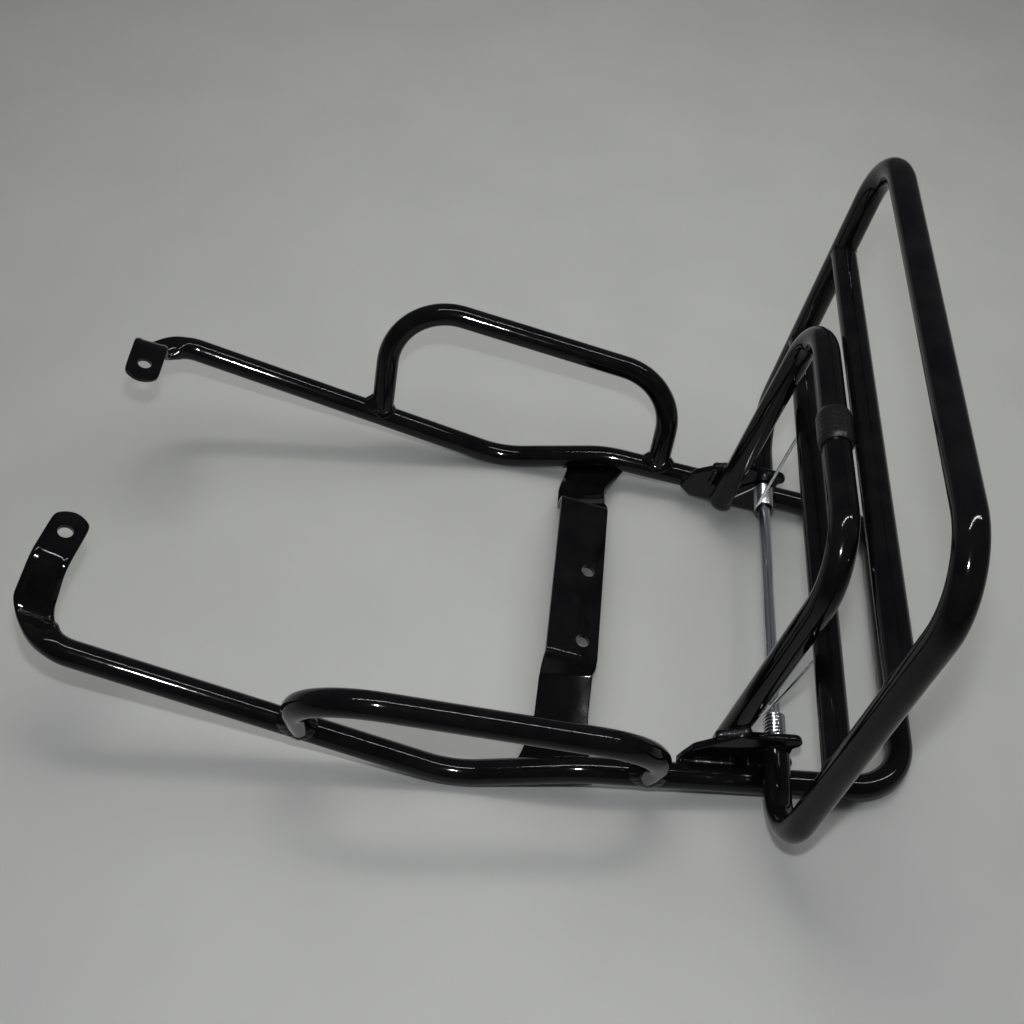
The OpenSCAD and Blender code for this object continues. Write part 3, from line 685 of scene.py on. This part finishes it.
for side, sign in SIDES:
    grid = hinge_plate() * sign
    if side == "left":
        grid = grid[:, ::-1]
    painted(f"hinge_plate_{side}_body", [grid], "base", [f"hinge_plate_{side}"], sharp=30)
    painted(f"hinge_plate_{side}_welds", [plate_bead(*row, sign) for row in PLATE_BEADS], "base")

# ---------------------------------------------------------------- stop loop and buffer

loop_corners = np.array([LOOP_FOOT, LOOP_TOP, LOOP_TOP * MIRROR, LOOP_FOOT * MIRROR])
painted("stop_loop_tube", [bar(loop_corners, [0, LOOP_BEND, LOOP_BEND, 0])], "base", ["stop_loop"])


def buffer_sleeve():
    """Rubber sleeve round the loop's bar: its thickness falls off by the eighth power of the distance
    from its middle, so that the ends are rounded, and a cosine gives it three and a half low waves on
    each half."""
    half = BUFFER_LENGTH / 2
    t = np.linspace(-1, 1, 25)
    thickness = BUFFER_T * (1 - 0.55 * np.abs(t) ** 8) - 0.12 * np.cos(7 * math.pi * t)
    outside = np.stack([half * t, TUBE_R + thickness], 1)
    bore = TUBE_R + 0.05
    profile = np.vstack([outside, [[half, bore], [-half, bore]]])
    grid = lathe(profile, LOOP_TOP * [1, 0, 1] - BUFFER_SHIFT * Y_AXIS)
    return grid, grid_faces(*grid.shape[:2], closed_rows=True)


piece("buffer_sleeve", [buffer_sleeve()], RUBBER, "base", ["stop_buffer"], "rubber")

# ---------------------------------------------------------------- rod, bushes and springs

rod_end, middle_r = STUB_END + BUSH_LENGTH, 0.05
rod_half = [(rod_end - ROD_CHAMFER, ROD_R), (rod_end, ROD_R - ROD_CHAMFER), (rod_end, middle_r)]
rod_profile = [(-x, r) for x, r in rod_half[::-1]] + rod_half
piece("rod_bar", [lathe(rod_profile, np.zeros(3))], ROD_ZINC, "base", ["hinge_rod"], "zinc_plate")
for side, _ in SIDES:
    bush = frame["nodes"][f"pivot_bush_{side}"].data
    bush.materials.clear()
    bush.materials.append(NYLON)


def spring_line():
    """Centre line of a torsion spring's wire: a leg on the stop loop, a coil round the rod whose distance
    along the rod grows with the angle turned, and a leg tangent to the coil that lifts the flap."""
    turned = np.linspace(0, COIL_SWEEP, 480)
    a = STAY_START - turned
    y = COIL_START - COIL_PITCH * turned / (2 * math.pi)
    coil = np.stack([COIL_R * np.cos(a), y, COIL_R * np.sin(a)], 1)
    leg = np.array([math.cos(LIFT_ANGLE), LIFT_LEAN, math.sin(LIFT_ANGLE)])
    stay = STAY_POINT + np.linspace(0, 1, 8, endpoint=False)[:, None] * (coil[0] - STAY_POINT)
    lifted = coil[-1] + np.linspace(0, 1, 30)[1:, None] * LIFT_LENGTH * leg
    return np.vstack([stay, coil, lifted])


for side, sign in SIDES:
    points = spring_line() * sign
    u, v = frames(unit(np.gradient(points, axis=0)), Y_AXIS)
    wire = rings(points, u, v, *section(WIRE_R, WIRE_R, WIRE_R, 14))
    spring = piece(f"spring_wire_{side}", [wire], WIRE_ZINC, None, [f"torsion_spring_{side}"], "zinc_plate")
    # The coil's start, a direction that leans up, and the coil's end along it are worked out but not used:
    # the whole spring is baked in place and rides on no body, so its lift leg does not go with the flap
    start = COIL_START * Y_AXIS * sign
    way = (BLEND_LEAN * Z_AXIS - Y_AXIS) * sign
    end = start + way * COIL_LENGTH / (way @ way)
    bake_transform(spring)

# ---------------------------------------------------------------- flap

stub = STUB_END * Y_AXIS
flap_corners = [stub, FLAP_CORNER, FLAP_TOP, FLAP_TOP * MIRROR, FLAP_CORNER * MIRROR, stub * MIRROR]
flap_radii = [0, FLAP_HINGE_BEND, FLAP_TOP_BEND, FLAP_TOP_BEND, FLAP_HINGE_BEND, 0]
painted("flap_tube", [bar(flap_corners, flap_radii, lip=BUSH_LENGTH)], "flap", ["flap_frame"])
flap_arm = FLAP_TOP - FLAP_CORNER
for name, height in (("lower", LOWER_BAR), ("upper", UPPER_BAR)):
    end = FLAP_CORNER + height / FLAP_LENGTH * flap_arm
    ends = np.array([end, end * MIRROR])
    painted(f"flap_bar_{name}", [bar(ends, [0, 0])], "flap", [f"flap_crossbar_{name}"])
    welds = [saddle_weld(end * sign, -Y_AXIS * sign, flap_arm * sign, 1.15) for _, sign in SIDES]
    painted(f"flap_bar_{name}_welds", welds, "flap")


# ---------------------------------------------------------------- table, light and camera

def table_top():
    half = 6.0
    place = np.linspace(-half, half, 3)
    x, y = np.meshgrid(place, place, indexing="ij")
    verts = np.stack([x, y, 0 * x], -1).reshape(-1, 3)
    faces = [[3 * i + j, 3 * i + j + 3, 3 * i + j + 4, 3 * i + j + 1] for i in range(2) for j in range(2)]
    obj = mesh_object("table_top", verts, faces)
    m, nodes, links, shader = material("table_board", (0.39, 0.39, 0.378), 0.75)
    cloud = noise(nodes, links, 9, 4.0)
    shade = blend_colors(nodes, links, cloud, (0.378, 0.379, 0.367), (0.402, 0.403, 0.390))
    links.new(shade, shader.inputs["Base Color"])
    obj.data.materials.append(m)


def place_at(obj, place, right, up, back):
    """Puts a lamp or the camera at a place with its own three axes."""
    obj.matrix_world = Matrix([[right[k], up[k], back[k], place[k]] for k in range(3)] + [[0, 0, 0, 1]])
    bpy.context.scene.collection.objects.link(obj)


def lamp(name, place, target, size, power, color=(1, 1, 1), lights=True, mirrored=True):
    """Soft rectangular lamp looking at a target. It can light surfaces, be mirrored in gloss as a
    highlight, or both."""
    data = bpy.data.lights.new(name, "AREA")
    data.shape, data.energy, data.color = "RECTANGLE", power, color
    data.size, data.size_y = size
    obj = bpy.data.objects.new(name, data)
    obj.visible_diffuse, obj.visible_glossy = lights, mirrored
    back = unit(np.subtract(place, target))
    right = unit(np.cross(Z_AXIS, back))
    place_at(obj, place, right, np.cross(back, right), back)


def camera():
    """Camera over the near side of the table, turned left, looking down, and rolled a little."""
    heading, down, roll = np.radians([-3.470, 47.363, -3.965])
    level_ahead = math.sin(heading) * X_AXIS + math.cos(heading) * Y_AXIS
    ahead = math.cos(down) * level_ahead - math.sin(down) * Z_AXIS
    level = unit(np.cross(ahead, Z_AXIS))
    right = math.cos(roll) * level + math.sin(roll) * np.cross(ahead, level)
    data = bpy.data.cameras.new("camera")
    data.sensor_width, data.lens = 36.0, 41.7045
    data.shift_x, data.shift_y = 0.00728, -0.046406
    data.clip_start, data.clip_end = 0.01, 50
    obj = bpy.data.objects.new("camera", data)
    place_at(obj, (0.02693, -0.48327, 0.66835), right, np.cross(right, ahead), -ahead)
    bpy.context.scene.camera = obj


def world():
    w = bpy.data.worlds.new("room")
    w.use_nodes = True
    w.node_tree.nodes["Background"].inputs["Color"].default_value = (0.09, 0.092, 0.098, 1)
    bpy.context.scene.world = w


FLASH, FLASH_TARGET = (0.024, -0.4214, 0.7258), (0, 0, 0.05)

table_top()
lamp("overhead", (-0.1, 0.8, 3.4), (0, 0, 0), (1.6, 0.42), 24.0, (1.0, 0.99, 0.95), mirrored=False)
lamp("overhead_line", (0.9, 0.677, 3.4), (1.0, 0.217, 0), (4.6, 0.06), 70.0, lights=False)
lamp("flash", FLASH, FLASH_TARGET, (0.03, 0.02), 1.4, (0.95, 0.98, 1.0), mirrored=False)
lamp("flash_glint", FLASH, FLASH_TARGET, (0.042, 0.026), 24.0, lights=False)
lamp("room", (0.1, 0.38, 0.92), (0.1, 0.3, 0), (1.1, 1.1), 6.6, (0.98, 1.0, 1.0), mirrored=False)
camera()
world()
bpy.context.scene.view_settings.view_transform = "Standard"
